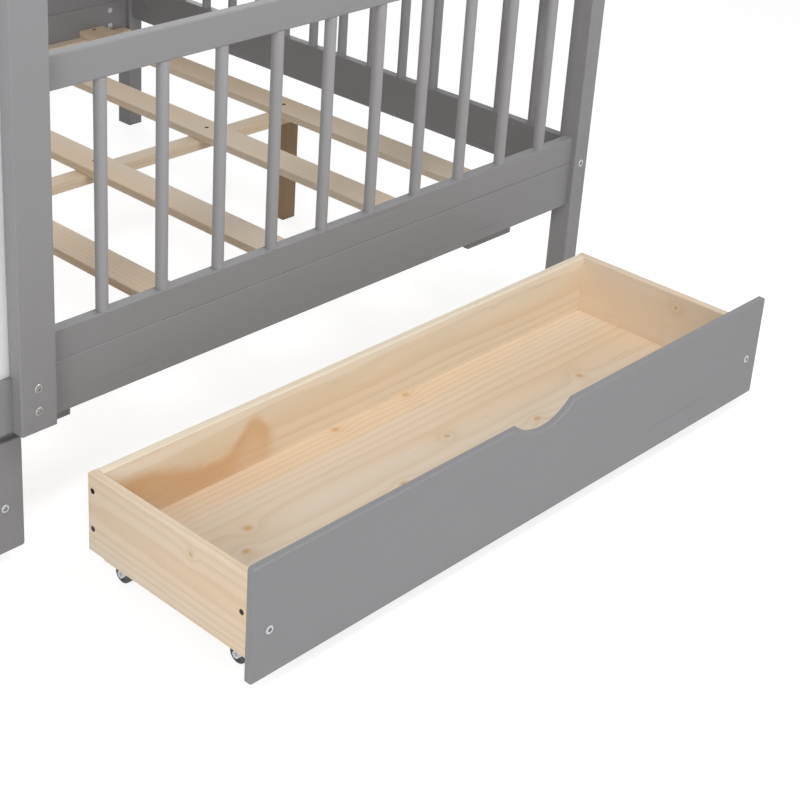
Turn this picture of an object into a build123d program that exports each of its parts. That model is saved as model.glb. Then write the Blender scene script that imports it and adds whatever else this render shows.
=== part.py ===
from build123d import *
import os
from math import radians, sin, tan

os.makedirs("parts", exist_ok=True)

# House bed for a twin mattress, with a fence and two drawers that roll on castors.
# Millimetres. X runs along the bed, Y goes back from the viewer, Z is up from the floor.
# The origin is under the middle leg, at the centre of the bed's plan.

# Bed frame, overall
bed_length = 1989.0
bed_depth = 1047.0
post_width = 29.5
post_depth = 33.0
eave_height = 1180.0
roof_pitch = 42.0
board_easing = 2.0

# Rails and fence
rail_thickness = 15.0
rail_setback = 8.5
rail_height = 67.0
side_rail_bottom = 176.6
end_rail_bottom = 208.5
fence_rail_height = 38.5
fence_top_rail_bottom = 560.2
rail_easing = 1.5

# Centre posts are flat boards that stand in front of the rails and lap over them
centre_post_width = 48.6
centre_post_thickness = 20.9
centre_post_step = 6.7
centre_post_drop = 1.4

# Spindles
spindle_diameter = 15.0
spindle_tenon_diameter = 8.0
spindle_tenon_length = 12.0
spindles_per_bay = 10
spindles_per_end = 14
gap_beside_centre_post = 81.7
gap_beside_corner_post = 71.5
gap_beside_end_post = 61.5

# Wall panel beside the doorway
wall_panel_width = 300.0
wall_panel_thickness = 9.0

# Slatted base. The slats stand at shares of the distance from the middle to the outermost one.
slat_width = 53.0
slat_thickness = 12.0
slat_end_gap = 0.5
outer_slat_distance = 81.0
slat_shares = (0.1035, 0.332, 0.5611, 0.8111, 1.0)
ledge_width = 20.0
ledge_height = 14.4
ledge_end_gap = 5.0
beam_width = 27.0
beam_height = 16.0
leg_width = 27.5
leg_depth = 16.0
outer_leg_distance = 67.0

# Drawer stops
stop_depth = 10.5
stop_drop = 18.6
stop_length = 91.5
outer_stop_distance = 153.7
middle_stop_length = 128.8

# Roof
eave_beam_height = 60.0
ridge_thickness = 20.0
ridge_height = 60.0

# Bolts, barrel nuts, dowels and screws
bolt_diameter = 6.0
bolt_head_diameter = 10.5
bolt_head_height = 5.0
bolt_head_proud = 0.4
bolt_socket = 5.0
bolt_socket_depth = 3.0
bolt_reach = 42.0
barrel_nut_place = 37.0
barrel_nut_diameter = 10.0
barrel_nut_length = 13.0
barrel_slot_width = 1.2
barrel_slot_depth = 1.0
rail_bolt_heights = (199.6, 228.5)
fence_bolt_rise = 12.0
end_bolt_drop = 10.0
eave_bolt_drops = (15.0, 45.0)
through_bolt_length = 28.0
dowel_diameter = 8.0
dowel_depth = 15.0
shallow_dowel_depth = 7.5
screw_diameter = 4.0
screw_head_diameter = 7.0
screw_cross_span = 0.6
screw_cross_width = 0.16
slat_screw_length = 22.0
slat_screw_inset = 9.0
hole_clearance = 0.05
cut_margin = 1.0

# Drawers
drawer_end_gap = 12.25
drawer_front_height = 144.0
drawer_front_bottom = 18.6
drawer_front_thickness = 8.8
drawer_front_easing = 2.5
drawer_front_corner = 4.0
drawer_middle_gap = 19.5
drawer_stop_clearance = 0.3
drawer_front_overhang = 56.0
drawer_box_depth = 255.5
drawer_box_bottom = 50.8
drawer_box_height = 100.7
drawer_wall = 11.6
drawer_bottom_thickness = 8.0
drawer_bottom_rise = 9.6
drawer_groove = 4.0
drawer_pull_out = 357.0
notch_width = 105.0
notch_depth = 20.5
notch_easing = 5.0
corner_block_size = 28.0
outer_block_length = 44.0
corner_block_height = 62.0
front_bolt_inset = 25.6
front_bolt_rise = 59.0
front_bolt_length = 30.0
wall_screw_inset = 7.7
wall_screw_rises = (31.0, 80.1)
wall_screw_length = 34.0
block_screw_rise = 52.9
block_screw_inset = 7.0

# Castors
castor_inset = 38.0
castor_end_distance = 31.8
castor_trail = 13.8
castor_height = 36.0
wheel_diameter = 24.0
wheel_width = 12.0
wheel_easing = 2.0
wheel_side_gap = 0.8
wheel_hub_diameter = 9.0
wheel_hub_recess = 1.0
axle_diameter = 4.0
axle_clearance = 0.05
axle_overhang = 1.6
fork_plate = 1.6
fork_disc_diameter = 22.0
fork_shoulder = 8.0
fork_eye_radius = 4.6
fork_top_gap = 2.6
kingpin_diameter = 6.0
kingpin_proud = 1.0
kingpin_recess_depth = 2.0
kingpin_recess_gap = 1.0
race_diameter = 24.0
race_gap = 0.3
castor_plate_size = 36.0
castor_plate_thickness = 2.0
castor_plate_corner = 4.5
castor_screw_spacing = 27.0
castor_screw_diameter = 3.0
castor_screw_head = 5.6
castor_screw_length = 14.0
cleat_width = 50.0

# Derived places of the frame
half_length = bed_length / 2
half_depth = bed_depth / 2
post_inner_x = half_length - post_width
post_mid_x = half_length - post_width / 2
post_mid_y = half_depth - post_depth / 2
rail_outer_y = half_depth - rail_setback
rail_inner_y = rail_outer_y - rail_thickness
rail_mid_y = rail_outer_y - rail_thickness / 2
side_rail_top = side_rail_bottom + rail_height
outer_slat_place = post_inner_x - outer_slat_distance
slat_places = [outer_slat_place * share for share in slat_shares]
outer_leg_place = post_inner_x - outer_leg_distance
outer_stop_place = post_inner_x - outer_stop_distance
end_rail_top = end_rail_bottom + rail_height
fence_foot_top = side_rail_top + fence_rail_height
fence_top = fence_top_rail_bottom + fence_rail_height
centre_post_outer_y = half_depth + centre_post_step
centre_post_inner_y = centre_post_outer_y - centre_post_thickness
eave_beam_bottom = eave_height - eave_beam_height
ledge_top = side_rail_bottom + ledge_height
slat_top = ledge_top + slat_thickness
slat_half_length = rail_inner_y - slat_end_gap
beam_bottom = ledge_top - beam_height
beam_half_length = outer_leg_place + leg_width / 2
ledge_half_length = post_inner_x - ledge_end_gap
ledge_inner_y = rail_inner_y - ledge_width
stop_bottom = side_rail_bottom - stop_drop
bolt_hole = bolt_diameter / 2 + hole_clearance
bolt_seat = bolt_head_diameter / 2 + hole_clearance
bolt_seat_depth = bolt_head_height - bolt_head_proud
screw_hole = screw_diameter / 2 + hole_clearance
ends = (-1, 1)
both_slat_places = [-place for place in slat_places] + slat_places

# Derived places of the spindles: along a half of a side, and along an end
bay_first = centre_post_width / 2 + gap_beside_centre_post
bay_pitch = (post_inner_x - gap_beside_corner_post - bay_first) / (spindles_per_bay - 1)
right_bay = [bay_first + i * bay_pitch for i in range(spindles_per_bay)]
left_bay = [-place for place in right_bay]
end_first = gap_beside_end_post + post_depth - half_depth
end_pitch = -2 * end_first / (spindles_per_end - 1)
end_row = [end_first + i * end_pitch for i in range(spindles_per_end)]
socket_radius = spindle_tenon_diameter / 2 + hole_clearance

# Derived places of the drawers. Insets run along a drawer from its end nearest the middle
# of the bed, depths run back from its front face, heights are above the floor.
drawer_closed_face = -rail_inner_y - drawer_stop_clearance - drawer_front_thickness
drawer_length = post_inner_x - drawer_end_gap - drawer_middle_gap / 2
drawer_box_length = drawer_length - drawer_front_overhang
box_front_depth = drawer_front_thickness
box_back_depth = box_front_depth + drawer_box_depth
back_wall_depth = box_back_depth - drawer_wall
back_screw_depth = box_back_depth - wall_screw_inset
block_back_depth = box_front_depth + corner_block_size
block_screw_depth = box_front_depth + block_screw_inset
drawer_box_top = drawer_box_bottom + drawer_box_height
drawer_floor_bottom = drawer_box_bottom + drawer_bottom_rise
drawer_floor_top = drawer_floor_bottom + drawer_bottom_thickness
corner_block_top = drawer_floor_top + corner_block_height
front_bolt_insets = (front_bolt_inset, drawer_length - front_bolt_inset)
front_bolt_height = drawer_front_bottom + front_bolt_rise
block_screw_height = drawer_box_bottom + block_screw_rise
kingpin_insets = (castor_inset, drawer_box_length - castor_inset)
kingpin_depths = (box_front_depth + castor_end_distance, box_back_depth - castor_end_distance)
axle_height = wheel_diameter / 2
fork_half_width = wheel_width / 2 + wheel_side_gap
fork_roof = wheel_diameter + fork_top_gap
fork_top = fork_roof + fork_plate
castor_plate_bottom = castor_height - castor_plate_thickness


# Board along X with its long edges eased
def board_along_x(x0, x1, y0, y1, z0, z1, easing):
    with BuildSketch(Plane.YZ.offset(x0)) as section:
        with Locations(((y0 + y1) / 2, (z0 + z1) / 2)):
            RectangleRounded(abs(y1 - y0), z1 - z0, easing)
    extrude(section.sketch, amount=x1 - x0)


# Board along Y with its long edges eased
def board_along_y(x0, x1, y0, y1, z0, z1, easing):
    with BuildSketch(Plane.XZ.offset(-y1)) as section:
        with Locations(((x0 + x1) / 2, (z0 + z1) / 2)):
            RectangleRounded(abs(x1 - x0), z1 - z0, easing)
    extrude(section.sketch, amount=y1 - y0)


# Board standing along Z with its upright edges eased
def board_along_z(x0, x1, y0, y1, z0, z1, easing):
    with BuildSketch(Plane.XY.offset(z0)) as section:
        with Locations(((x0 + x1) / 2, (y0 + y1) / 2)):
            RectangleRounded(abs(x1 - x0), abs(y1 - y0), easing)
    extrude(section.sketch, amount=z1 - z0)


# Cuts a squared housing out of the piece in hand
def cut_housing(x0, x1, y0, y1, z0, z1):
    with BuildSketch(Plane.XY.offset(z0)) as section:
        with Locations(((x0 + x1) / 2, (y0 + y1) / 2)):
            Rectangle(abs(x1 - x0), abs(y1 - y0))
    extrude(section.sketch, amount=z1 - z0, mode=Mode.SUBTRACT)


# Drills the piece in hand from each plane's origin, inwards against the plane's normal
def drill(planes, radius, depth):
    with Locations(*planes):
        Hole(radius, depth=depth)


# Drills for a bolt whose head sits in a round seat at each plane's origin
def drill_for_bolt(planes, depth):
    with Locations(*planes):
        CounterBoreHole(bolt_hole, bolt_seat, bolt_seat_depth, depth=depth)


# Plane at a point, facing outwards along an axis
def facing(x, y, z, direction):
    return Plane(origin=(x, y, z), z_dir=direction)


def finish_piece(builder, name):
    builder.part.label = name
    export_step(builder.part, f"parts/{name}.step")


# Places where bolts enter. Each list holds planes that face out of the bolted face.
def post_end_bolts(end, side, heights):
    return [facing(end * half_length, side * rail_mid_y, z, (end, 0, 0)) for z in heights]


def post_face_bolts(end, side, heights):
    return [facing(end * post_mid_x, side * half_depth, z, (0, side, 0)) for z in heights]


def rail_end_bolts(end, side, heights):
    return [facing(end * post_inner_x, side * rail_mid_y, z, (end, 0, 0)) for z in heights]


def centre_post_bolts(side):
    heights = list(rail_bolt_heights) + [eave_height - drop for drop in eave_bolt_drops]
    return [facing(0, side * centre_post_outer_y, z, (0, side, 0)) for z in heights]


# Barrel nut places on the inner face of a rail, for bolts that enter at the heights given
def side_nuts(end, side, heights):
    x = end * (post_inner_x - barrel_nut_place)
    return [facing(x, side * rail_inner_y, z, (0, -side, 0)) for z in heights]


def end_nuts(end, side, heights):
    y = side * (half_depth - post_depth - barrel_nut_place)
    x = end * (post_mid_x - rail_thickness / 2)
    return [facing(x, y, z, (-end, 0, 0)) for z in heights]


fence_foot_bolt = side_rail_top + fence_bolt_rise + bolt_head_diameter / 2
fence_top_bolt = fence_top_rail_bottom + fence_bolt_rise
end_top_bolt = fence_top - end_bolt_drop
end_rail_bolt = end_rail_bottom + rail_height / 2
eave_bolts = [eave_height - drop for drop in eave_bolt_drops]


# Heights of the bolts that enter a corner post from its end face
def rail_heights(end, side):
    heights = list(rail_bolt_heights) + eave_bolts
    has_fence = side > 0 or end > 0
    return heights + [fence_foot_bolt, fence_top_bolt] if has_fence else heights


end_heights = [end_rail_bolt, end_top_bolt]
barrel_hole = barrel_nut_diameter / 2 + hole_clearance


# Corner posts
for end, end_name in zip(ends, ("left", "right")):
    for side, side_name in zip(ends, ("front", "back")):
        with BuildPart() as corner_post:
            board_along_z(
                end * post_inner_x,
                end * half_length,
                side * (half_depth - post_depth),
                side * half_depth,
                0,
                eave_height,
                board_easing,
            )
            drill_for_bolt(post_end_bolts(end, side, rail_heights(end, side)), post_width)
            drill_for_bolt(post_face_bolts(end, side, end_heights), post_depth)
            dowel_top = facing(end * post_mid_x, side * post_mid_y, eave_height, (0, 0, 1))
            drill([dowel_top], dowel_diameter / 2 + hole_clearance, dowel_depth)
        finish_piece(corner_post, f"corner_post_{side_name}_{end_name}")


# Centre posts, housed round the boards that run behind them
for side, side_name in zip(ends, ("front", "back")):
    with BuildPart() as centre_post:
        board_along_z(
            -centre_post_width / 2,
            centre_post_width / 2,
            side * centre_post_inner_y,
            side * centre_post_outer_y,
            side_rail_bottom - centre_post_drop,
            eave_height,
            board_easing,
        )
        fence_start = 0 if side < 0 else -centre_post_width
        inner = side * (centre_post_inner_y - cut_margin)
        outer = side * rail_outer_y
        cut_housing(-centre_post_width, centre_post_width, inner, outer, side_rail_bottom, side_rail_top)
        cut_housing(fence_start, centre_post_width, inner, outer, side_rail_top, fence_foot_top)
        cut_housing(fence_start, centre_post_width, inner, outer, fence_top_rail_bottom, fence_top)
        cut_housing(-centre_post_width, centre_post_width, inner, outer, eave_beam_bottom, eave_height)
        drill_for_bolt(centre_post_bolts(side), centre_post_thickness)
    finish_piece(centre_post, f"centre_post_{side_name}")


# Side rails, the lower boards that carry the slats
for side, side_name in zip(ends, ("front", "back")):
    with BuildPart() as side_rail:
        board_along_x(
            -post_inner_x,
            post_inner_x,
            side * rail_inner_y,
            side * rail_outer_y,
            side_rail_bottom,
            side_rail_top,
            rail_easing,
        )
        for end in ends:
            drill(rail_end_bolts(end, side, rail_bolt_heights), bolt_hole, bolt_reach)
            drill(side_nuts(end, side, rail_bolt_heights), barrel_hole, barrel_nut_length)
        crossing = [facing(0, side * rail_outer_y, z, (0, side, 0)) for z in rail_bolt_heights]
        drill(crossing, bolt_hole, rail_thickness)
    finish_piece(side_rail, f"side_rail_{side_name}")


# End rails
for end, end_name in zip(ends, ("left", "right")):
    with BuildPart() as end_rail:
        board_along_y(
            end * (post_mid_x - rail_thickness / 2),
            end * (post_mid_x + rail_thickness / 2),
            post_depth - half_depth,
            half_depth - post_depth,
            end_rail_bottom,
            end_rail_top,
            rail_easing,
        )
        for side in ends:
            bolt = facing(end * post_mid_x, side * (half_depth - post_depth), end_rail_bolt, (0, side, 0))
            drill([bolt], bolt_hole, bolt_reach)
            drill(end_nuts(end, side, [end_rail_bolt]), barrel_hole, barrel_nut_length)
        sockets = [facing(end * post_mid_x, y, end_rail_top, (0, 0, 1)) for y in end_row]
        drill(sockets, socket_radius, spindle_tenon_length)
    finish_piece(end_rail, f"end_rail_{end_name}")


# Fence rails of the long sides: the front has them on its right half only
for side, side_name in zip(ends, ("front", "back")):
    starts = 0 if side < 0 else -post_inner_x
    row = right_bay if side < 0 else left_bay + right_bay
    bolted_ends = [1] if side < 0 else ends
    for level, low, bolt_height in (
        ("bottom", side_rail_top, fence_foot_bolt),
        ("top", fence_top_rail_bottom, fence_top_bolt),
    ):
        with BuildPart() as fence_rail:
            board_along_x(
                starts,
                post_inner_x,
                side * rail_inner_y,
                side * rail_outer_y,
                low,
                low + fence_rail_height,
                rail_easing,
            )
            if level == "bottom":
                feet = [facing(x, side * rail_mid_y, low + fence_rail_height, (0, 0, 1)) for x in row]
            else:
                feet = [facing(x, side * rail_mid_y, low, (0, 0, -1)) for x in row]
            drill(feet, socket_radius, spindle_tenon_length)
            for end in bolted_ends:
                drill(rail_end_bolts(end, side, [bolt_height]), bolt_hole, bolt_reach)
                drill(side_nuts(end, side, [bolt_height]), barrel_hole, barrel_nut_length)
        finish_piece(fence_rail, f"fence_{level}_rail_{side_name}")


# Top rails of the two end fences
with BuildPart() as end_top_rails:
    for end in ends:
        board_along_y(
            end * (post_mid_x - rail_thickness / 2),
            end * (post_mid_x + rail_thickness / 2),
            post_depth - half_depth,
            half_depth - post_depth,
            fence_top_rail_bottom,
            fence_top,
            rail_easing,
        )
        for side in ends:
            bolt = facing(end * post_mid_x, side * (half_depth - post_depth), end_top_bolt, (0, side, 0))
            drill([bolt], bolt_hole, bolt_reach)
            drill(end_nuts(end, side, [end_top_bolt]), barrel_hole, barrel_nut_length)
        sockets = [facing(end * post_mid_x, y, fence_top_rail_bottom, (0, 0, -1)) for y in end_row]
        drill(sockets, socket_radius, spindle_tenon_length)
finish_piece(end_top_rails, "fence_top_rails_ends")


# Row of spindles standing between two rails, with a tenon at each end
def spindle_row(places, low, high):
    with BuildSketch(Plane.XY.offset(low)) as spindles:
        with Locations(*places):
            Circle(spindle_diameter / 2)
    extrude(spindles.sketch, amount=high - low)
    with BuildSketch(Plane.XY.offset(low - spindle_tenon_length)) as tenons:
        with Locations(*places):
            Circle(spindle_tenon_diameter / 2)
    extrude(tenons.sketch, amount=high - low + 2 * spindle_tenon_length)


with BuildPart() as front_spindles:
    spindle_row([(x, -rail_mid_y) for x in right_bay], fence_foot_top, fence_top_rail_bottom)
finish_piece(front_spindles, "fence_spindles_front")

with BuildPart() as back_spindles:
    spindle_row([(x, rail_mid_y) for x in left_bay + right_bay], fence_foot_top, fence_top_rail_bottom)
finish_piece(back_spindles, "fence_spindles_back")

with BuildPart() as end_spindles:
    for end in ends:
        spindle_row([(end * post_mid_x, y) for y in end_row], end_rail_top, fence_top_rail_bottom)
finish_piece(end_spindles, "fence_spindles_ends")


# Wall panel beside the doorway, standing on the front side rail behind the centre post
with BuildPart() as wall_panel:
    board_along_z(
        -wall_panel_width,
        0,
        -rail_inner_y - wall_panel_thickness,
        -rail_inner_y,
        side_rail_top,
        eave_beam_bottom,
        board_easing,
    )
finish_piece(wall_panel, "wall_panel")


# Slatted base
ledge_screws = rail_inner_y - slat_screw_inset
slat_screw_places = [
    facing(x, y, slat_top, (0, 0, 1)) for x in both_slat_places for y in (-ledge_screws, 0, ledge_screws)
]
carrier_depth = slat_screw_length - slat_thickness

with BuildPart() as slat_ledges:
    for side in ends:
        board_along_x(
            -ledge_half_length,
            ledge_half_length,
            side * ledge_inner_y,
            side * rail_inner_y,
            side_rail_bottom,
            ledge_top,
            rail_easing,
        )
        screws = [facing(x, side * ledge_screws, ledge_top, (0, 0, 1)) for x in both_slat_places]
        drill(screws, screw_hole, carrier_depth)
finish_piece(slat_ledges, "slat_ledges")

with BuildPart() as slats:
    for x in both_slat_places:
        board_along_y(
            x - slat_width / 2,
            x + slat_width / 2,
            -slat_half_length,
            slat_half_length,
            ledge_top,
            slat_top,
            rail_easing,
        )
    with Locations(*slat_screw_places):
        CounterSinkHole(screw_hole, screw_head_diameter / 2 + hole_clearance, depth=slat_thickness)
finish_piece(slats, "slats")

with BuildPart() as centre_beam:
    board_along_x(
        -beam_half_length,
        beam_half_length,
        -beam_width / 2,
        beam_width / 2,
        beam_bottom,
        ledge_top,
        rail_easing,
    )
    drill([facing(x, 0, ledge_top, (0, 0, 1)) for x in both_slat_places], screw_hole, carrier_depth)
finish_piece(centre_beam, "centre_beam")

with BuildPart() as centre_legs:
    for x in (-outer_leg_place, 0, outer_leg_place):
        board_along_z(
            x - leg_width / 2, x + leg_width / 2, -leg_depth / 2, leg_depth / 2, 0, beam_bottom, rail_easing
        )
finish_piece(centre_legs, "centre_legs")

with BuildPart() as drawer_stops:
    for x, length in (
        (-outer_stop_place, stop_length),
        (0, middle_stop_length),
        (outer_stop_place, stop_length),
    ):
        board_along_x(
            x - length / 2,
            x + length / 2,
            -rail_inner_y,
            stop_depth - rail_inner_y,
            stop_bottom,
            side_rail_bottom,
            rail_easing,
        )
finish_piece(drawer_stops, "drawer_stops")


# Roof: two eave beams between the posts, a ridge beam and four rafters
slope = radians(roof_pitch)
rafter_foot = post_depth / sin(slope)
ridge_top = eave_height + (half_depth - ridge_thickness / 2) * tan(slope)
rafter_heel = eave_height + (half_depth - rafter_foot - ridge_thickness / 2) * tan(slope)
ridge_dowel_height = (ridge_top + rafter_heel) / 2
ridge_planes = [facing(end * post_mid_x, ridge_thickness / 2, ridge_dowel_height, (0, 1, 0)) for end in ends]
dowel_hole = dowel_diameter / 2 + hole_clearance

with BuildPart() as roof_beams:
    for side in ends:
        board_along_x(
            -post_inner_x,
            post_inner_x,
            side * rail_inner_y,
            side * rail_outer_y,
            eave_beam_bottom,
            eave_height,
            rail_easing,
        )
        for end in ends:
            drill(rail_end_bolts(end, side, eave_bolts), bolt_hole, bolt_reach)
            drill(side_nuts(end, side, eave_bolts), barrel_hole, barrel_nut_length)
        crossing = [facing(0, side * rail_outer_y, z, (0, side, 0)) for z in eave_bolts]
        drill(crossing, bolt_hole, rail_thickness)
    board_along_x(
        -half_length,
        half_length,
        -ridge_thickness / 2,
        ridge_thickness / 2,
        ridge_top - ridge_height,
        ridge_top,
        rail_easing,
    )
    drill(ridge_planes, dowel_hole, ridge_thickness)
finish_piece(roof_beams, "roof_beams")

with BuildPart() as rafters:
    for side in ends:
        for end in ends:
            inner_x = post_inner_x if end > 0 else -half_length
            with BuildSketch(Plane.YZ.offset(inner_x)):
                with BuildLine():
                    Polyline(
                        (side * half_depth, eave_height),
                        (side * (half_depth - rafter_foot), eave_height),
                        (side * ridge_thickness / 2, rafter_heel),
                        (side * ridge_thickness / 2, ridge_top),
                        close=True,
                    )
                make_face()
            extrude(amount=post_width)
            foot = facing(end * post_mid_x, side * post_mid_y, eave_height, (0, 0, -1))
            head = facing(end * post_mid_x, side * ridge_thickness / 2, ridge_dowel_height, (0, -side, 0))
            drill([foot], dowel_hole, shallow_dowel_depth)
            drill([head], dowel_hole, dowel_depth)
    long_edges = rafters.edges().filter_by(lambda e: e.length > bed_depth / 3)
    fillet(long_edges, board_easing)
finish_piece(rafters, "rafters")


# One bolt of a given length, its head seated below the plane's origin
def make_bolt(length):
    with BuildPart() as bolt:
        with Locations((0, 0, bolt_head_proud)):
            Cylinder(bolt_head_diameter / 2, bolt_head_height, align=(Align.CENTER, Align.CENTER, Align.MAX))
        Cylinder(bolt_diameter / 2, length, align=(Align.CENTER, Align.CENTER, Align.MAX))
        with BuildSketch(Plane.XY.offset(bolt_head_proud)):
            RegularPolygon(bolt_socket / 2, 6, major_radius=False)
        extrude(amount=-bolt_socket_depth, mode=Mode.SUBTRACT)
        chamfer(bolt.faces().sort_by(Axis.Z)[-1].outer_wire().edges(), bolt_head_proud)
    return bolt.part


# Barrel nut lying flush in a rail's inner face, its cross hole on the rail's middle plane
def make_barrel_nut():
    with BuildPart() as nut:
        Cylinder(barrel_nut_diameter / 2, barrel_nut_length, align=(Align.CENTER, Align.CENTER, Align.MAX))
        with Locations(Plane(origin=(barrel_nut_diameter, 0, -rail_thickness / 2), z_dir=(1, 0, 0))):
            Hole(bolt_hole, depth=2 * barrel_nut_diameter)
        with BuildSketch(Plane.XY):
            Rectangle(barrel_slot_width, barrel_nut_diameter)
        extrude(amount=-barrel_slot_depth, mode=Mode.SUBTRACT)
    return nut.part


long_side_bolts = []
long_end_bolts = []
side_nut_planes = []
end_nut_planes = []
for end in ends:
    for side in ends:
        heights = rail_heights(end, side)
        long_side_bolts += post_end_bolts(end, side, heights)
        long_end_bolts += post_face_bolts(end, side, end_heights)
        x = end * (post_inner_x - barrel_nut_place)
        side_nut_planes += [
            Plane(origin=(x, side * rail_inner_y, z), x_dir=(1, 0, 0), z_dir=(0, -side, 0)) for z in heights
        ]
        y = side * (half_depth - post_depth - barrel_nut_place)
        x = end * (post_mid_x - rail_thickness / 2)
        end_nut_planes += [
            Plane(origin=(x, y, z), x_dir=(0, 1, 0), z_dir=(-end, 0, 0)) for z in end_heights
        ]

side_bolt = make_bolt(post_width + bolt_reach)
end_bolt = make_bolt(post_depth + bolt_reach)
through_bolt = make_bolt(through_bolt_length)
barrel_nut = make_barrel_nut()

with BuildPart() as frame_fasteners:
    with Locations(*long_side_bolts):
        add(side_bolt)
    with Locations(*long_end_bolts):
        add(end_bolt)
    with Locations(*(centre_post_bolts(-1) + centre_post_bolts(1))):
        add(through_bolt)
    with Locations(*(side_nut_planes + end_nut_planes)):
        add(barrel_nut)
    for end in ends:
        for side in ends:
            with Locations((end * post_mid_x, side * post_mid_y, eave_height + shallow_dowel_depth)):
                Cylinder(
                    dowel_diameter / 2,
                    dowel_depth + shallow_dowel_depth,
                    align=(Align.CENTER, Align.CENTER, Align.MAX),
                )
        with Locations(Plane(origin=(end * post_mid_x, 0, ridge_dowel_height), z_dir=(0, 1, 0))):
            Cylinder(dowel_diameter / 2, ridge_thickness + 2 * dowel_depth)
finish_piece(frame_fasteners, "frame_fasteners")


# Countersunk screw, its head's top at the plane's origin
def make_screw(length, head_diameter, diameter):
    with BuildPart() as screw:
        head_height = (head_diameter - diameter) / 2
        with BuildSketch(Plane.XZ):
            with BuildLine():
                Polyline(
                    (0, 0),
                    (head_diameter / 2, 0),
                    (diameter / 2, -head_height),
                    (diameter / 2, diameter / 2 - length),
                    (0, -length),
                    close=True,
                )
            make_face()
        revolve(axis=Axis.Z)
        with BuildSketch(Plane.XY):
            Rectangle(head_diameter * screw_cross_span, head_diameter * screw_cross_width)
            Rectangle(head_diameter * screw_cross_width, head_diameter * screw_cross_span)
        extrude(amount=-head_height * screw_cross_span, mode=Mode.SUBTRACT)
    return screw.part


slat_screw = make_screw(slat_screw_length, screw_head_diameter, screw_diameter)
with BuildPart() as slat_screws:
    with Locations(*slat_screw_places):
        add(slat_screw)
finish_piece(slat_screws, "slat_screws")


# Drawers. The left one mirrors the right one and stands closed. Each function below takes the
# drawer's hand, 1 for the right and -1 for the left, its name and the place of its front face on Y.
wall_screw = make_screw(wall_screw_length, screw_head_diameter, screw_diameter)
castor_screw = make_screw(castor_screw_length, castor_screw_head, castor_screw_diameter)
front_bolt = make_bolt(front_bolt_length)


# Place on X of a point at an inset along the drawer
def drawer_x(hand, inset):
    return hand * (drawer_middle_gap / 2 + inset)


# Screws that hold a side wall to the back wall, entering at an inset and facing outward
def back_screws(hand, face, inset, outward):
    x = drawer_x(hand, inset)
    y = face + back_screw_depth
    return [facing(x, y, drawer_box_bottom + rise, (hand * outward, 0, 0)) for rise in wall_screw_rises]


# Screw that holds a corner block to a side wall, entering at an inset from the middle of the bed
def block_screw(hand, face, inset):
    return facing(drawer_x(hand, inset), face + block_screw_depth, block_screw_height, (-hand, 0, 0))


def front_bolts(hand, y):
    return [facing(drawer_x(hand, inset), y, front_bolt_height, (0, -1, 0)) for inset in front_bolt_insets]


def kingpin_places(hand, face):
    return [(drawer_x(hand, inset), face + depth) for inset in kingpin_insets for depth in kingpin_depths]


# Screws at the four corners of a castor's plate, entering from below at a height
def castor_screws(x, y, height):
    reach = castor_screw_spacing / 2
    return [facing(x + a * reach, y + b * reach, height, (0, 0, -1)) for a in ends for b in ends]


# Front with a scooped handle notch in the middle of its top edge
def build_front(hand, name, face):
    middle = drawer_x(hand, drawer_length / 2)
    notch_radius = ((notch_width / 2) ** 2 + notch_depth**2) / (2 * notch_depth)
    notch_centre = drawer_front_bottom + drawer_front_height - notch_depth + notch_radius
    with BuildPart() as front:
        with BuildSketch(Plane.XZ.offset(-face - box_front_depth)) as outline:
            with Locations((middle, drawer_front_bottom + drawer_front_height / 2)):
                RectangleRounded(drawer_length, drawer_front_height, drawer_front_corner)
            with Locations((middle, notch_centre)):
                Circle(notch_radius, mode=Mode.SUBTRACT)
            rims = outline.vertices().group_by(Axis.Y)[-1].sort_by(Axis.X)[1:-1]
            fillet(rims, notch_easing)
        extrude(amount=drawer_front_thickness)
        fillet(front.faces().sort_by(Axis.Y)[0].outer_wire().edges(), drawer_front_easing)
        drill_for_bolt(front_bolts(hand, face), drawer_front_thickness)
    finish_piece(front, f"{name}_front")


# Side walls, grooved for the bottom
def build_side_walls(hand, name, face):
    for wall, inset, outward in (("inner_side", 0, -1), ("outer_side", drawer_box_length, 1)):
        inner_inset = inset - outward * drawer_wall
        with BuildPart() as side_wall:
            board_along_y(
                drawer_x(hand, inset),
                drawer_x(hand, inner_inset),
                face + box_front_depth,
                face + box_back_depth,
                drawer_box_bottom,
                drawer_box_top,
                rail_easing,
            )
            cut_housing(
                drawer_x(hand, inner_inset + outward * drawer_groove),
                drawer_x(hand, inner_inset - outward * cut_margin),
                face + box_front_depth - cut_margin,
                face + back_wall_depth + drawer_groove,
                drawer_floor_bottom,
                drawer_floor_top,
            )
            front_screw = block_screw(hand, face, inset if outward < 0 else inner_inset)
            with Locations(*back_screws(hand, face, inset, outward), front_screw):
                CounterSinkHole(screw_hole, screw_head_diameter / 2 + hole_clearance, depth=drawer_wall)
        finish_piece(side_wall, f"{name}_{wall}")


# Back wall between the side walls, grooved for the bottom
def build_back(hand, name, face):
    low, high = sorted((drawer_x(hand, drawer_wall), drawer_x(hand, drawer_box_length - drawer_wall)))
    with BuildPart() as back_wall:
        board_along_x(
            low,
            high,
            face + back_wall_depth,
            face + box_back_depth,
            drawer_box_bottom,
            drawer_box_top,
            rail_easing,
        )
        cut_housing(
            low - cut_margin,
            high + cut_margin,
            face + back_wall_depth - cut_margin,
            face + back_wall_depth + drawer_groove,
            drawer_floor_bottom,
            drawer_floor_top,
        )
        screw_reach = wall_screw_length - drawer_wall
        drill(back_screws(hand, face, drawer_wall, -1), screw_hole, screw_reach)
        drill(back_screws(hand, face, drawer_box_length - drawer_wall, 1), screw_hole, screw_reach)
    finish_piece(back_wall, f"{name}_back")


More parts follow.
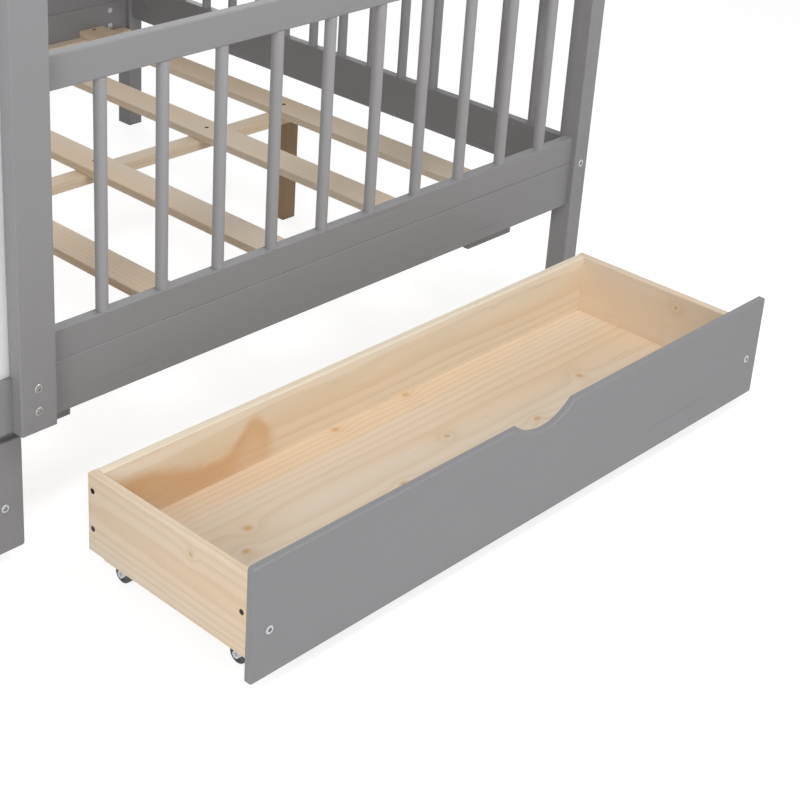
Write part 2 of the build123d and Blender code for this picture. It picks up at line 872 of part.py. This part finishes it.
# Bottom, held in grooves of the side and back walls
def build_bottom(hand, name, face):
    edge = drawer_wall - drawer_groove
    low, high = sorted((drawer_x(hand, edge), drawer_x(hand, drawer_box_length - edge)))
    with BuildPart() as bottom:
        board_along_x(
            low,
            high,
            face + box_front_depth,
            face + back_wall_depth + drawer_groove,
            drawer_floor_bottom,
            drawer_floor_top,
            hole_clearance,
        )
    finish_piece(bottom, f"{name}_bottom")


# Corner blocks behind the front, and cleats under the bottom that carry the castors
def build_battens(hand, name, face):
    far_wall = drawer_box_length - drawer_wall
    with BuildPart() as battens:
        for near, far, low in (
            (drawer_wall, drawer_wall + corner_block_size, drawer_floor_top),
            (drawer_box_length, drawer_box_length + outer_block_length, drawer_box_bottom),
        ):
            board_along_z(
                drawer_x(hand, near),
                drawer_x(hand, far),
                face + box_front_depth,
                face + block_back_depth,
                low,
                corner_block_top,
                rail_easing,
            )
        for near, far in ((drawer_wall, drawer_wall + cleat_width), (far_wall - cleat_width, far_wall)):
            board_along_y(
                drawer_x(hand, near),
                drawer_x(hand, far),
                face + box_front_depth,
                face + back_wall_depth,
                castor_height,
                drawer_floor_bottom,
                rail_easing,
            )
        drill(front_bolts(hand, face + box_front_depth), bolt_hole, front_bolt_length - box_front_depth)
        block_holes = [block_screw(hand, face, drawer_wall), block_screw(hand, face, drawer_box_length)]
        drill(block_holes, screw_hole, wall_screw_length - drawer_wall)
        for x, y in kingpin_places(hand, face):
            castor_hole = castor_screw_diameter / 2 + hole_clearance
            drill(castor_screws(x, y, castor_height), castor_hole, castor_screw_length)
            recess = facing(x, y, castor_height, (0, 0, -1))
            drill([recess], kingpin_diameter / 2 + kingpin_recess_gap, kingpin_recess_depth)
    finish_piece(battens, f"{name}_battens")


# Bolts and screws of the drawer
def build_drawer_fasteners(hand, name, face):
    with BuildPart() as fasteners:
        with Locations(*front_bolts(hand, face)):
            add(front_bolt)
        wall_screws = back_screws(hand, face, 0, -1) + back_screws(hand, face, drawer_box_length, 1)
        block_screws = [block_screw(hand, face, inset) for inset in (0, drawer_box_length - drawer_wall)]
        with Locations(*wall_screws, *block_screws):
            add(wall_screw)
        for x, y in kingpin_places(hand, face):
            with Locations(*castor_screws(x, y, castor_plate_bottom)):
                add(castor_screw)
    finish_piece(fasteners, f"{name}_fasteners")


# Mounting plates of the castors, each with its ball race
def build_castor_plates(hand, name, face):
    with BuildPart() as castor_plates:
        for x, y in kingpin_places(hand, face):
            with BuildSketch(Plane.XY.offset(castor_plate_bottom)):
                with Locations((x, y)):
                    RectangleRounded(castor_plate_size, castor_plate_size, castor_plate_corner)
            extrude(amount=castor_plate_thickness)
            with BuildSketch(Plane.XY.offset(fork_top + race_gap)):
                with Locations((x, y)):
                    Circle(race_diameter / 2)
            extrude(amount=castor_plate_bottom - fork_top - race_gap)
            kingpin = facing(x, y, castor_height, (0, 0, 1))
            drill([kingpin], kingpin_diameter / 2 + hole_clearance, castor_height)
            with Locations(*castor_screws(x, y, castor_plate_bottom)):
                CounterSinkHole(
                    castor_screw_diameter / 2 + hole_clearance,
                    castor_screw_head / 2 + hole_clearance,
                    depth=castor_plate_thickness,
                )
    finish_piece(castor_plates, f"{name}_castor_plates")


# Swivel fork under a kingpin at x, y, holding the axle at axle_y
def build_fork(name, x, y, axle_y):
    with BuildPart() as fork:
        for way in ends:
            cheek_x = x + way * fork_half_width
            cheek_low = min(cheek_x, cheek_x + way * fork_plate)
            with BuildSketch(Plane.YZ.offset(cheek_low)):
                with BuildLine():
                    CenterArc((axle_y, axle_height), fork_eye_radius, 0, 360)
                    Line((y - fork_shoulder, fork_top), (y + fork_shoulder, fork_top))
                make_hull()
            extrude(amount=fork_plate)
        with BuildSketch(Plane.XY.offset(fork_roof)):
            with Locations((x, y)):
                Circle(fork_disc_diameter / 2)
        extrude(amount=fork_plate)
        with BuildSketch(Plane.XY.offset(fork_top)):
            with Locations((x, y)):
                Circle(kingpin_diameter / 2)
        extrude(amount=castor_height - fork_top + kingpin_proud)
        axle_start = x - fork_half_width - fork_plate - axle_overhang
        with BuildSketch(Plane.YZ.offset(axle_start)):
            with Locations((axle_y, axle_height)):
                Circle(axle_diameter / 2)
        extrude(amount=2 * (x - axle_start))
    finish_piece(fork, name)


# Wheel with a recess round the hub on both faces
def build_wheel(name, x, axle_y):
    with BuildPart() as wheel:
        with BuildSketch(Plane.YZ.offset(x - wheel_width / 2)):
            with Locations((axle_y, axle_height)):
                Circle(wheel_diameter / 2)
        extrude(amount=wheel_width)
        fillet(wheel.edges(), wheel_easing)
        for way in ends:
            hub_x = x + way * wheel_width / 2
            with BuildSketch(Plane.YZ.offset(min(hub_x, hub_x - way * wheel_hub_recess))):
                with Locations((axle_y, axle_height)):
                    Circle(wheel_diameter / 2 - 2 * wheel_easing)
                    Circle(wheel_hub_diameter / 2, mode=Mode.SUBTRACT)
            extrude(amount=wheel_hub_recess, mode=Mode.SUBTRACT)
        bore = facing(x + wheel_width / 2, axle_y, axle_height, (1, 0, 0))
        drill([bore], axle_diameter / 2 + axle_clearance, wheel_width)
    finish_piece(wheel, name)


def build_drawer(hand, name, pull_out):
    face = drawer_closed_face - pull_out
    build_front(hand, name, face)
    build_side_walls(hand, name, face)
    build_back(hand, name, face)
    build_bottom(hand, name, face)
    build_battens(hand, name, face)
    build_drawer_fasteners(hand, name, face)
    build_castor_plates(hand, name, face)
    for inset, end_word in zip(kingpin_insets, ("inner", "outer")):
        for depth, depth_word in zip(kingpin_depths, ("front", "rear")):
            x = drawer_x(hand, inset)
            y = face + depth
            axle_y = y + hand * castor_trail
            build_fork(f"{name}_fork_{end_word}_{depth_word}", x, y, axle_y)
            build_wheel(f"{name}_wheel_{end_word}_{depth_word}", x, axle_y)


build_drawer(1, "right_drawer", drawer_pull_out)
build_drawer(-1, "left_drawer", 0)
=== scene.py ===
import bpy
import numpy as np
from mathutils import Matrix, Vector


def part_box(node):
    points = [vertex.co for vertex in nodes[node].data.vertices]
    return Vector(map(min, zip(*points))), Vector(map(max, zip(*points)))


# House bed with two drawers: painted pine frame, bare pine slats and drawer boxes.
# Metres, X along the bed, Y to the back, Z up, the floor at zero.

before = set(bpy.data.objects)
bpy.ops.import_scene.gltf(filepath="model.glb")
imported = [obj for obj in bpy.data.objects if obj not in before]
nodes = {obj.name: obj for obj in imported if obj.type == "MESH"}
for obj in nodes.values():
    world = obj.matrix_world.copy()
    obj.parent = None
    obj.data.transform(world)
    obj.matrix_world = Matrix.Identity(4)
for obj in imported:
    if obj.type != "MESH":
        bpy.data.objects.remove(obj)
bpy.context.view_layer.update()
print("frame loaded:", len(nodes), "CAD nodes")


# Small helpers for colours and shaders

# screen colour 0..255 to the linear one that shaders take
def tone(red, green, blue):
    share = np.array([red, green, blue]) / 255
    linear = np.where(share <= 0.04045, share / 12.92, ((share + 0.055) / 1.055) ** 2.4)
    return (*[float(v) for v in linear], 1.0)


# the rafters' slope, as the two short sides of a triangle whose long side is 1
rafterLow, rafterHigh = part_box("rafters")
roofSlope = np.array([(rafterHigh[1] - rafterLow[1]) / 2, rafterHigh[2] - rafterLow[2]], float)
roofSlope = [float(v) for v in roofSlope / np.linalg.norm(roofSlope)]


class Wire:
    # a node's output that can be added, multiplied and compared like a number
    def __init__(self, shader, socket):
        self.shader = shader
        self.socket = socket

    def __add__(self, other):
        return self.shader.maths("ADD", self, other)

    def __sub__(self, other):
        return self.shader.maths("SUBTRACT", self, other)

    def __rsub__(self, other):
        return self.shader.maths("SUBTRACT", other, self)

    def __mul__(self, other):
        return self.shader.maths("MULTIPLY", self, other)

    def __truediv__(self, other):
        return self.shader.maths("DIVIDE", self, other)

    def __rtruediv__(self, other):
        return self.shader.maths("DIVIDE", other, self)

    def __pow__(self, other):
        return self.shader.maths("POWER", self, other)

    __radd__ = __add__
    __rmul__ = __mul__


class Shader:
    # one material, or the world, with its nodes and links
    def __init__(self, name, kept=bpy.data.materials):
        self.owner = kept.new(name)
        self.owner.use_nodes = True
        self.tree = self.owner.node_tree
        self.tree.nodes.clear()

    # the one way to add a node: its type, its settings, the values or links of its sockets
    def node(self, kind, settings=None, inputs=None, output=0):
        made = self.tree.nodes.new(kind)
        for key, value in (settings or {}).items():
            setattr(made, key, value)
        for key, value in (inputs or {}).items():
            socket = made.inputs[key]
            if isinstance(value, Wire):
                self.tree.links.new(value.socket, socket)
            else:
                socket.default_value = value
        return Wire(self, made.outputs[output]) if made.outputs else None

    def maths(self, operation, first, second=0.0):
        return self.node("ShaderNodeMath", {"operation": operation}, {0: first, 1: second})

    def vector(self, operation, first, second):
        return self.node("ShaderNodeVectorMath", {"operation": operation}, {0: first, 1: second})

    def parts(self, vector):                    # the three numbers of a vector
        split = self.node("ShaderNodeSeparateXYZ", inputs={0: vector}).socket.node
        return [Wire(self, split.outputs[i]) for i in range(3)]

    def joined(self, x, y, z):
        return self.node("ShaderNodeCombineXYZ", inputs={0: x, 1: y, 2: z})

    def noise(self, vector, scale=1.0, detail=2.0, roughness=0.5):
        sockets = {"Vector": vector, "Scale": scale, "Detail": detail, "Roughness": roughness}
        return self.node("ShaderNodeTexNoise", inputs=sockets)

    def rise(self, value, low, high):           # 0 below low, 1 above high, smooth between
        sockets = {"Value": value, "From Min": low, "From Max": high}
        return self.node("ShaderNodeMapRange", {"interpolation_type": "SMOOTHSTEP"}, sockets)

    def mix(self, share, first, second):
        return self.node("ShaderNodeMix", {"data_type": "RGBA"}, {0: share, 6: first, 7: second}, 2)

    def shaded(self, colour, shade):            # a colour times one number
        return self.vector("MULTIPLY", colour, self.joined(shade, shade, shade))

    def bump(self, height, distance, strength):
        sockets = {"Height": height, "Distance": distance, "Strength": strength}
        return self.node("ShaderNodeBump", inputs=sockets)

    def place(self):
        return self.node("ShaderNodeTexCoord", output="Object")

    # coordinates turned so that the first runs along the grain; "slope" follows the rafters to the ridge
    def grainPlace(self, axis):
        x, y, z = self.parts(self.place())
        if axis == "slope":
            out = self.maths("ABSOLUTE", y)
            run, climb = roofSlope
            return z * climb - out * run, x, out * climb + z * run
        return {"X": (x, y, z), "Y": (y, x, z), "Z": (z, x, y)}[axis]

    def close(self, **sockets):                 # ends the material in one principled surface
        named = {key.replace("_", " "): value for key, value in sockets.items()}
        surface = self.node("ShaderNodeBsdfPrincipled", inputs=named)
        self.node("ShaderNodeOutputMaterial", inputs={"Surface": surface})
        return self.owner


# Paint over pine: a satin coat that lets the grain's long lines show through

paint = {
    "colour": (138, 137, 139),
    "spindles": (151, 150, 152), # painted light: lighter only to meet the photo; most likely the same paint
    "panel": (236, 236, 236),
    "shadeShare": 0.05,          # how far the coat wanders lighter and darker
    "lineDepth": 0.16,           # how dark the grain lines are
    "lineEdge": (0.66, 0.74),    # how much of the noise becomes a line
    "patchEdge": (0.48, 0.64),   # how much of the wood has lines at all
    "fibreShade": 0.03,
    "roughness": 0.46,
    "roughnessRange": 0.12,
    "reliefHeight": 0.00025,
    "reliefStrength": 0.5,
    "shine": 0.35,
    "slowGrain": (1.6, 14),      # noise cells per metre along the grain and across it
    "fibreGrain": (5, 240),
    "lineGrain": (3.2, 150),
    "patchGrain": (2.4, 9),
}


def paintedWood(name, axis, colour, coat=paint):
    # shade = 1 + slow noise - thin lines drawn out along the grain; the relief follows both
    shader = Shader(name)
    along, across, up = shader.grainPlace(axis)

    def drawnOut(grain, shift, detail, roughness=0.5):
        lengthwise, crosswise = coat[grain]
        place = shader.joined(along * lengthwise, across * crosswise + shift, up * crosswise)
        return shader.noise(place, 1.0, detail, roughness)

    slow = drawnOut("slowGrain", 0, 3.0)
    fibre = drawnOut("fibreGrain", 0, 3.0, 0.6)
    patch = shader.rise(drawnOut("patchGrain", 3, 1.0), *coat["patchEdge"])
    line = shader.rise(drawnOut("lineGrain", 7, 2.0), *coat["lineEdge"]) * patch
    shade = 1 + (slow - 0.5) * (2 * coat["shadeShare"]) - line * coat["lineDepth"]
    shade = shade + (fibre - 0.5) * coat["fibreShade"]
    relief = fibre * 0.6 + slow * 0.3 - line * 0.8
    normal = shader.bump(relief, coat["reliefHeight"], coat["reliefStrength"])
    roughness = (fibre - 0.5) * coat["roughnessRange"] + coat["roughness"]
    return shader.close(Base_Color=shader.shaded(tone(*colour)[:3], shade), Roughness=roughness,
                        Normal=normal, Specular_IOR_Level=coat["shine"])


# Bare pine: rings round a pith below the board, fibres, knots and orange heartwood

pine = {
    "pale": (226, 211, 191),
    "warm": (229, 205, 177),
    "late": (206, 178, 142),     # the darker latewood line of a ring
    "knotHeart": (202, 156, 108),
    "knotRim": (212, 180, 138),
    "heartwood": (222, 176, 128),
    "ringWidth": 0.0074,
    "ringStrength": 0.30,
    "wander": 0.012,             # how far the rings wave along a board
    "strayKnots": 2.6,           # cells per metre that may hold a knot
    "strayRadius": 0.0052,
    "knotStretch": 1.25,         # how much longer a knot is along the grain
    "fibreShade": 0.10,
    "dashShade": 0.12,           # short dark pores
    "roughness": 0.55,
    "roughnessRange": 0.15,
    "reliefHeight": 0.0002,
    "reliefStrength": 0.5,
    "shine": 0.3,
}


def pineWood(name, axis, flat, pith, knots=(), heart=None, seed=0.0, look=pine):
    # flat is the board's thin direction, pith the centre of its rings in the two cross directions
    shader = Shader(name)
    along, across, up = shader.grainPlace(axis)
    wide = up if flat == "across" else across
    # distance to the board's known knots and to a scatter of others, in knot radii
    cell = {"Vector": shader.joined(along + seed, wide + seed, 0.0), "Scale": look["strayKnots"]}
    stray = shader.node("ShaderNodeTexVoronoi", {"voronoi_dimensions": "2D"}, cell)
    chance = shader.parts(Wire(shader, stray.socket.node.outputs["Color"]))[0]
    knotSize = shader.rise(chance, 0.35, 1.0) * look["strayRadius"] + 0.0004
    knotGap = stray / (knotSize * look["strayKnots"])
    for knotAlong, knotWide, radius in knots:
        stretched = (along - knotAlong) / (radius * look["knotStretch"])
        gap = shader.maths("SQRT", stretched ** 2 + ((wide - knotWide) / radius) ** 2)
        knotGap = shader.maths("MINIMUM", knotGap, gap)
    knotMask = 1 - shader.rise(knotGap, 0.55, 1.15)
    knotCore = 1 - shader.rise(knotGap, 0.0, 0.7)
    swirl = 1 / (knotGap * knotGap * 0.35 + 1)
    # rings: distance from the pith, waved by noise and pushed round each knot
    wave = shader.noise(shader.joined(along * 1.5 + seed, across * 7, up * 7), 1.0, 2.0) - 0.5
    ripple = shader.noise(shader.joined(along * 6, across * 40 + seed, up * 40), 1.0, 2.0) - 0.5
    gone = wave * look["wander"] * 2
    reach = shader.maths("SQRT", (across - pith[0] + gone) ** 2 + (up - pith[1]) ** 2)
    phase = reach / look["ringWidth"] + swirl * 1.4 + ripple * 0.5 + seed
    saw = shader.maths("FRACT", phase)
    late = shader.rise(saw, 0.3, 0.86) * (1 - shader.rise(saw, 0.86, 1.0))
    fibre = shader.noise(shader.joined(along * 7, across * 300, up * 300 + seed), 1.0, 3.0, 0.6)
    broad = shader.noise(shader.joined(along * 1.1 + seed, across * 11, up * 11), 1.0, 2.0)
    dash = shader.rise(shader.noise(shader.joined(along * 16, across * 330 + seed, up * 330)), 0.68, 0.76)
    colour = shader.mix(shader.rise(broad, 0.38, 0.66), tone(*look["pale"]), tone(*look["warm"]))
    ringShare = late * look["ringStrength"] * (0.55 + broad * 0.9)
    colour = shader.mix(ringShare, colour, tone(*look["late"]))
    if heart is not None:
        colour = shader.mix(heart(shader, along, wide), colour, tone(*look["heartwood"]))
    colour = shader.mix(swirl * 0.35, colour, tone(*look["late"]))
    colour = shader.mix(knotMask, colour, tone(*look["knotRim"]))
    colour = shader.mix(knotCore * 0.6, colour, tone(*look["knotHeart"]))
    shade = 1 + (fibre - 0.5) * look["fibreShade"] - dash * look["dashShade"]
    relief = fibre * 0.6 - late * 0.5 + knotMask * 0.5
    normal = shader.bump(relief, look["reliefHeight"], look["reliefStrength"])
    roughness = (fibre - 0.5) * look["roughnessRange"] + look["roughness"]
    return shader.close(Base_Color=shader.shaded(colour, shade), Roughness=roughness, Normal=normal,
                        Specular_IOR_Level=look["shine"])


# painted shade and painted light, set only to meet the photo's brightness under these lamps and not known
# to be other wood:
# legs under the centre beam darker as painted shade, drawer backs paler as painted light
paintedShadePine = {**pine, "pale": (170, 148, 122), "warm": (162, 134, 104), "late": (136, 106, 76)}
paintedLightPine = {**pine, "pale": (240, 227, 206), "warm": (240, 219, 191), "late": (216, 190, 154)}


# orange heartwood of the right drawer's back: low along the board, with one peak, ending at a slope
backHeart = {
    "low": 0.100,                # metres above the floor
    "leftRise": 0.028,
    "leftFrom": 0.19,
    "leftTo": 0.05,
    "peak": 0.034,
    "peakAt": 0.247,
    "peakWidth": 0.026,
    "endFrom": 0.262,
    "endTo": 0.290,
    "wobble": 0.012,
    "soft": 0.010,
    "fadeDepth": 0.07,
    "strength": 0.85,
}


def heartOfBack(shader, along, height, look=backHeart):
    # top edge = low + rise to the left + bell at the peak; the mask is 1 under that edge, left of the end
    left = 1 - shader.rise(along, look["leftTo"], look["leftFrom"])
    bell = shader.maths("EXPONENT", ((along - look["peakAt"]) / look["peakWidth"]) ** 2 * -1)
    rough = (shader.noise(shader.joined(along * 30, height * 60, 0.0)) - 0.5) * look["wobble"]
    edge = left * look["leftRise"] + bell * look["peak"] + look["low"] + rough
    below = shader.rise(edge - height, -look["soft"], look["soft"])
    fade = 1 - shader.rise(edge - height, 0.0, look["fadeDepth"]) * 0.55
    ended = 1 - shader.rise(along, look["endFrom"], look["endTo"])
    return below * fade * ended * look["strength"]


# Steel and plastic

steel = {"zinc": (196, 198, 200), "screw": (74, 58, 50), "roughness": 0.34, "frontDepth": 0.009}
wheelPlastic = {"colour": (70, 70, 72), "roughness": 0.4, "grainDepth": 0.00006}


def zincSteel(name, look=steel):
    shader = Shader(name)
    cloud = shader.noise(shader.place(), 380.0, 3.0)
    colour = shader.shaded(tone(*look["zinc"])[:3], cloud * 0.25 + 0.87)
    normal = shader.bump(cloud, 0.00005, 0.4)
    roughness = (cloud - 0.5) * 0.25 + look["roughness"]
    return shader.close(Base_Color=colour, Metallic=0.9, Roughness=roughness, Normal=normal)


def darkScrew(name, look=steel):
    shader = Shader(name)
    cloud = shader.noise(shader.place(), 900.0, 2.0)
    colour = shader.shaded(tone(*look["screw"])[:3], cloud * 0.5 + 0.75)
    return shader.close(Base_Color=colour, Metallic=0.6, Roughness=cloud * 0.2 + 0.4)


def drawerFittings(name, face, look=steel):
    # zinc for the two bolts in the front, dark steel for the wall screws behind it
    shader = Shader(name)
    place = shader.place()
    depth = shader.parts(place)[1] - (face + look["frontDepth"])
    cloud = shader.noise(place, 500.0, 2.0)
    behind = shader.rise(depth, -0.0002, 0.0002)
    colour = shader.mix(behind, tone(*look["zinc"]), tone(*look["screw"]))
    return shader.close(Base_Color=shader.shaded(colour, cloud * 0.3 + 0.85),
                        Metallic=0.85 - behind * 0.25, Roughness=cloud * 0.2 + 0.28)


def mouldedPlastic(name, look=wheelPlastic):
    shader = Shader(name)
    place = shader.place()
    grain = shader.noise(place, 1500.0, 2.0)
    cloud = shader.noise(place, 60.0, 2.0)
    colour = shader.shaded(tone(*look["colour"])[:3], cloud * 0.3 + 0.85)
    normal = shader.bump(grain, look["grainDepth"], 0.5)
    return shader.close(Base_Color=colour, Roughness=grain * 0.2 + look["roughness"], Normal=normal)


# Which finish each CAD node takes

# knots in the right drawer's bottom: place along the bed, place across it, radius
floorKnots = [
    (0.153, -0.707, 0.0055), (0.121, -0.739, 0.0045), (0.382, -0.620, 0.006), (0.514, -0.618, 0.0055),
    (0.355, -0.761, 0.0045), (0.597, -0.769, 0.005), (0.476, -0.722, 0.004), (0.181, -0.812, 0.004)]
hands = ("right", "left")
corners = [f"{end}_{row}" for end in ("inner", "outer") for row in ("front", "rear")]


def boltFace(hand):                             # the outer face of a drawer's front
    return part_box(f"{hand}_drawer_front")[0][1]


finishes = {
    paintedWood("paintAlongX", "X", paint["colour"]): [
        "side_rail_front", "side_rail_back", "fence_bottom_rail_front", "fence_bottom_rail_back",
        "fence_top_rail_front", "fence_top_rail_back", "roof_beams", "drawer_stops",
        "right_drawer_front", "left_drawer_front"],
    paintedWood("paintAlongY", "Y", paint["colour"]): [
        "end_rail_left", "end_rail_right", "fence_top_rails_ends"],
    paintedWood("paintRafters", "slope", paint["colour"]): ["rafters"],
    paintedWood("paintAlongZ", "Z", paint["colour"]): [
        *[f"corner_post_{row}_{side}" for row in ("front", "back") for side in ("left", "right")],
        "centre_post_front", "centre_post_back"],
    # the spindles take the paint made lighter, as painted light
    paintedWood("spindlePaintWithPaintedLight", "Z", paint["spindles"]): [
        "fence_spindles_front", "fence_spindles_back", "fence_spindles_ends"],
    paintedWood("whitePaint", "Z", paint["panel"]): ["wall_panel"],
    pineWood("pineLedges", "X", "across", (0.0, 0.26), seed=3.1): ["slat_ledges", "centre_beam"],
    pineWood("pineSlats", "Y", "up", (0.11, 0.14), seed=1.7): ["slats"],
    # the legs take pine darkened as painted shade
    pineWood("pineLegs", "Z", "across", (0.02, 0.09), seed=5.2, look=paintedShadePine): ["centre_legs"],
    pineWood("pineBattens", "X", "up", (0.02, 0.09), seed=5.2): [
        "right_drawer_battens", "left_drawer_battens"],
    pineWood("pineBottomRight", "X", "up", (-0.72, 0.01), floorKnots, seed=0.4): ["right_drawer_bottom"],
    pineWood("pineBottomLeft", "X", "up", (-0.36, 0.01), seed=7.9): ["left_drawer_bottom"],
    # both drawer backs take pine made paler as painted light
    pineWood("pineBackRight", "X", "across", (-0.56, 0.12), heart=heartOfBack, seed=2.2, look=paintedLightPine): [
        "right_drawer_back"],
    pineWood("pineBackLeft", "X", "across", (-0.20, 0.12), seed=6.3, look=paintedLightPine): ["left_drawer_back"],
    pineWood("pineSides", "Y", "across", (0.05, 0.11), seed=4.5): [
        f"{hand}_drawer_{end}_side" for hand in hands for end in ("inner", "outer")],
    zincSteel("zincSteel"): [
        "frame_fasteners", "right_drawer_castor_plates", "left_drawer_castor_plates",
        *[f"{hand}_drawer_fork_{corner}" for hand in hands for corner in corners]],
    darkScrew("slatScrewSteel"): ["slat_screws"],
    drawerFittings("rightDrawerSteel", boltFace("right")): ["right_drawer_fasteners"],
    drawerFittings("leftDrawerSteel", boltFace("left")): ["left_drawer_fasteners"],
    mouldedPlastic("wheelPlastic"): [
        f"{hand}_drawer_wheel_{corner}" for hand in hands for corner in corners],
}
finished = set()
for material, names in finishes.items():
    for name in names:
        mesh = nodes[name].data
        mesh.materials.clear()
        mesh.materials.append(material)
        finished.add(name)
print("finishes given:", len(finished), "nodes; without one:", sorted(set(nodes) - finished))


# Floor, light and camera

stage = {
    "floorSize": 16.0,
    "floorSink": 0.0004,
    "bounce": 0.88,              # how much light the floor gives back to the bed
    "seenShare": 0.40,           # share of real shading in what the eye sees, which keeps the shadow
    "seenGlow": 0.80,            # even white over it
}


def seenRays(shader):                           # 1 where a surface is seen, mirrored or seen through glass
    rays = shader.node("ShaderNodeLightPath").socket.node
    camera, glossy, clear = [Wire(shader, rays.outputs[f"Is {kind} Ray"])
                             for kind in ("Camera", "Glossy", "Transmission")]
    return shader.maths("MAXIMUM", shader.maths("MAXIMUM", camera, glossy), clear)


def makeFloor(look=stage):
    half, low = look["floorSize"] / 2, -look["floorSink"]
    mesh = bpy.data.meshes.new("floor")
    places = [(-half, -half, low), (half, -half, low), (half, half, low), (-half, half, low)]
    mesh.from_pydata(places, [], [(0, 1, 2, 3)])
    floor = bpy.data.objects.new("floor", mesh)
    bpy.context.scene.collection.objects.link(floor)
    shader = Shader("floorWhite")
    plain, shaded = [shader.node("ShaderNodeBsdfDiffuse", inputs={"Color": (look[share],) * 3 + (1.0,)})
                     for share in ("bounce", "seenShare")]
    glow = shader.node("ShaderNodeEmission", inputs={"Strength": look["seenGlow"]})
    both = shader.node("ShaderNodeAddShader", inputs={0: shaded, 1: glow})
    surface = shader.node("ShaderNodeMixShader", inputs={0: seenRays(shader), 1: plain, 2: both})
    shader.node("ShaderNodeOutputMaterial", inputs={"Surface": surface})
    mesh.materials.append(shader.owner)


def makeWorld(level):
    # an even pale room for the light, plain white where it is seen or mirrored
    shader = Shader("room", bpy.data.worlds)
    bpy.context.scene.world = shader.owner
    strength = seenRays(shader) * (1 - level) + level
    back = shader.node("ShaderNodeBackground", inputs={"Color": (1, 1, 1, 1), "Strength": strength})
    shader.node("ShaderNodeOutputWorld", inputs={"Surface": back})


# each lamp's place, what it faces, its two sides in metres and its power in watts
lamps = {
    "frontLamp": ((0.6, -3.4, 0.9), (0.35, -0.5, 0.3), (2.6, 1.2), 17.0),
    "leftLamp": ((-1.6, -1.3, 1.0), (0.1, -0.5, 0.4), (0.9, 0.9), 17.5),
    "drawerLamp": ((0.6, -1.25, 1.7), (0.5, -0.7, 0.05), (1.0, 0.4), 14.5),
    "backLamp": ((1.9, 2.9, 1.1), (0.1, 0.3, 0.6), (2.6, 1.2), 32.0),
}
roomLight = 0.28


def makeLamp(name, place, target, size, power):
    light = bpy.data.lights.new(name, "AREA")
    light.shape = "RECTANGLE"
    light.size, light.size_y = size
    light.energy = power
    lamp = bpy.data.objects.new(name, light)
    bpy.context.scene.collection.objects.link(lamp)
    away = Vector(place) - Vector(target)
    lamp.rotation_mode = "QUATERNION"
    lamp.rotation_quaternion = away.to_track_quat("Z", "Y")
    lamp.location = place


makeFloor()
makeWorld(roomLight)
for lampName, lampLook in lamps.items():
    makeLamp(lampName, *lampLook)
print("floor, room and lamps made")

# the camera's right, down and forward directions, solved for the photograph's viewing angle with
# a lens shift small enough that the other views still hold the whole bed
viewpoint = {
    "place": (-0.9912, -1.8956, 1.1820),
    "right": (0.706070, -0.706777, 0.043956),
    "down": (-0.271966, -0.327959, -0.904697),
    "forward": (0.653835, 0.626825, -0.423781),
    "lens": 78.53,
    "shift": (0.10, -0.18),
    "sensor": 36.0,
    "clip": (0.05, 60.0),
}


def makeCamera(look):
    data = bpy.data.cameras.new("camera")
    data.sensor_width = look["sensor"]
    data.lens = look["lens"]
    data.shift_x, data.shift_y = look["shift"]
    data.clip_start, data.clip_end = look["clip"]
    camera = bpy.data.objects.new("camera", data)
    bpy.context.scene.collection.objects.link(camera)
    up = -np.array(look["down"])
    back = -np.array(look["forward"])
    turn = Matrix(np.column_stack([look["right"], up, back]).tolist())
    camera.matrix_world = Matrix.Translation(look["place"]) @ turn.to_4x4()
    bpy.context.scene.camera = camera


makeCamera(viewpoint)
bpy.context.scene.view_settings.view_transform = "Standard"
print("camera placed")
